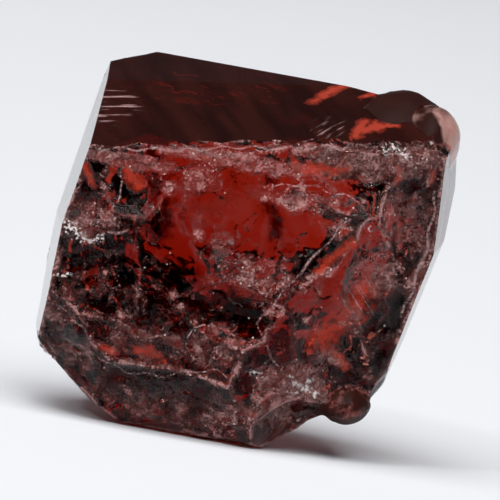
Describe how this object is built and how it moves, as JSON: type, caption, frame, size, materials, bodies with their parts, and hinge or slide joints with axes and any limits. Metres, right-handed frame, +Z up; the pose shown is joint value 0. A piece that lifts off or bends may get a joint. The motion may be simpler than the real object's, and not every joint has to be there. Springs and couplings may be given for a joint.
{
  "type": "garnet crystal",
  "caption": "Rough, unfaceted garnet crystal fragment: a flat glassy top and sides, shell-like broken faces, standing on a small flat base.",
  "frame": {"origin": "centre of the bounding box in plan, at the height of the flat base", "axes": "+X along the longest side, left to right across the broken front; +Y from the front to the back, the shortest side; +Z up from the flat base"},
  "size_m": [0.0068, 0.0048, 0.0066],
  "materials": {
    "garnet": "glossy"
  },
  "bodies": {
    "root": {"garnet_crystal": "garnet"}
  },
  "joints": []
}
